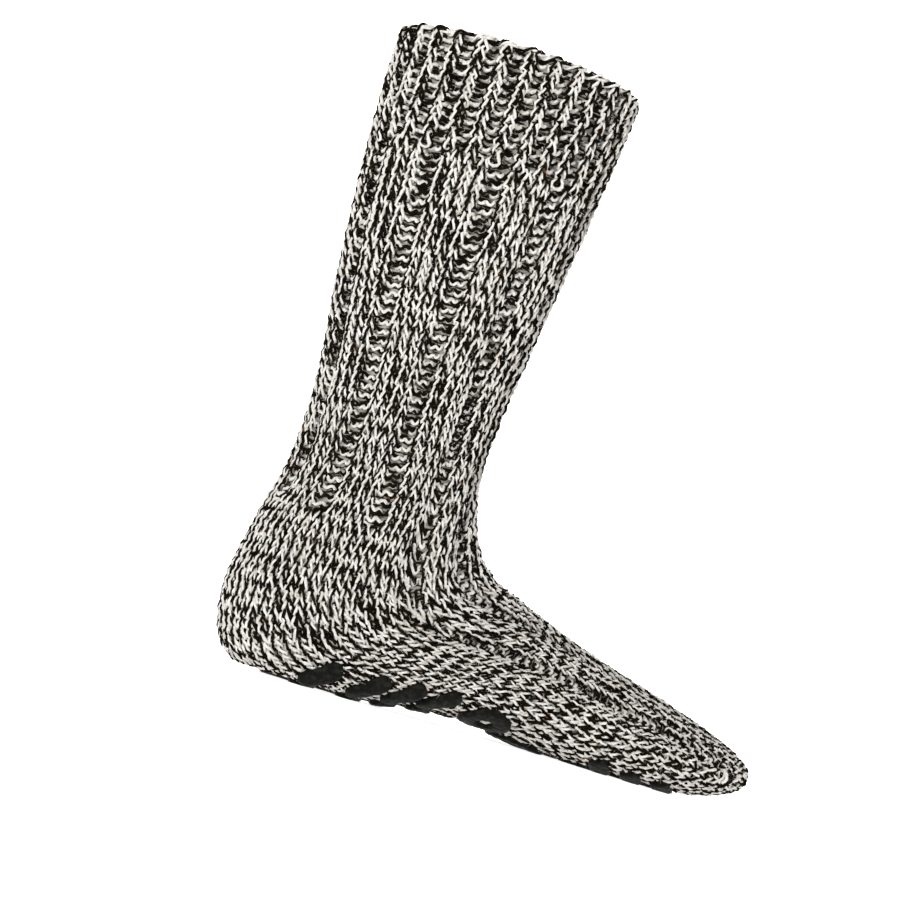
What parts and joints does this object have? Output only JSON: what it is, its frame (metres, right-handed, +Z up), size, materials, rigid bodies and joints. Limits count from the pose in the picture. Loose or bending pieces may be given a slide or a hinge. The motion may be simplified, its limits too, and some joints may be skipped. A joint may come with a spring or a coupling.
{
  "type": "slipper sock",
  "caption": "Chunky knitted ribbed slipper sock in marled wool, hollow and open at the collar, with a rubber anti-slip print on its sole.",
  "frame": {"origin": "on the floor, under the middle of the sock's box", "axes": "+X towards the toe, +Y towards the wearer's left, +Z up the leg"},
  "size_m": [0.2574, 0.1018, 0.275],
  "materials": {
    "wool": "matte",
    "print": "satin"
  },
  "bodies": {
    "root": {"upper": "wool", "grip_heel_1_inner_right": "print", "grip_heel_1_inner_left": "print", "grip_heel_1_outer_right": "print", "grip_heel_1_outer_left": "print", "grip_side_1_inner_right": "print", "grip_side_1_inner_left": "print", "grip_side_1_outer_right": "print", "grip_side_1_outer_left": "print", "grip_side_2_inner_right": "print", "grip_side_2_inner_left": "print", "grip_side_2_outer_right": "print", "grip_side_2_outer_left": "print", "grip_side_3_inner_right": "print", "grip_side_3_inner_left": "print", "grip_side_3_outer_right": "print", "grip_side_3_outer_left": "print", "grip_toe_1_inner_right": "print", "grip_toe_1_inner_left": "print", "grip_toe_1_outer_right": "print", "grip_toe_1_outer_left": "print", "grip_toe_2_inner_right": "print", "grip_toe_2_inner_left": "print", "grip_toe_2_outer_right": "print", "grip_toe_2_outer_left": "print", "grip_toe_3_inner_right": "print", "grip_toe_3_inner_left": "print", "grip_toe_3_outer_right": "print", "grip_toe_3_outer_left": "print", "grip_ring_middle": "print", "grip_ring_right": "print", "grip_ring_left": "print"}
  },
  "joints": []
}
